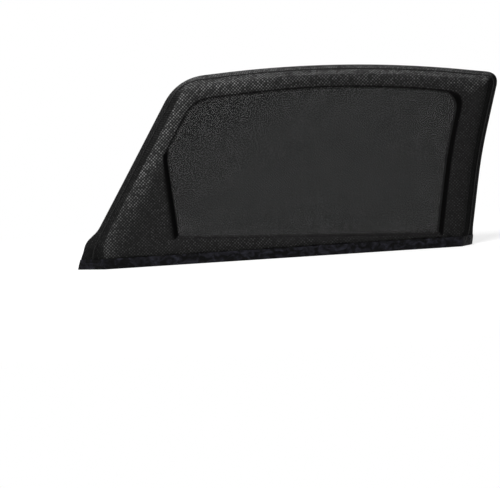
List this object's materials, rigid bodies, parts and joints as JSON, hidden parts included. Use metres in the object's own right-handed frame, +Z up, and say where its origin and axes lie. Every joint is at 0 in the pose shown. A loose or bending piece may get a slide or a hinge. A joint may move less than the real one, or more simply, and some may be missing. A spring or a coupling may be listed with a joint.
{
  "type": "car side window sunshade",
  "caption": "Black mesh sleeve that pulls over a car's rear door window frame as a sunshade, open at the bottom with an elastic hem.",
  "frame": {"origin": "middle of the width and the depth, in the plane of the mouth", "axes": "+X along the width towards the front of the window, +Y towards the street side, +Z up from the mouth to the crown"},
  "size_m": [1.0346, 0.0582, 0.4542],
  "materials": {
    "mesh_cloth": "open knitted polyester mesh, see-through, soft sheen",
    "seam_thread": "overlocked thread over folded mesh",
    "hem_cloth": "dense knitted binding, gathered",
    "elastic": "woven elastic band, matt"
  },
  "bodies": {
    "root": {"cabin_panel": "mesh_cloth", "street_panel": "mesh_cloth", "edge_seam": "seam_thread", "hem_casing": "hem_cloth", "hem_elastic": "elastic"}
  },
  "joints": []
}
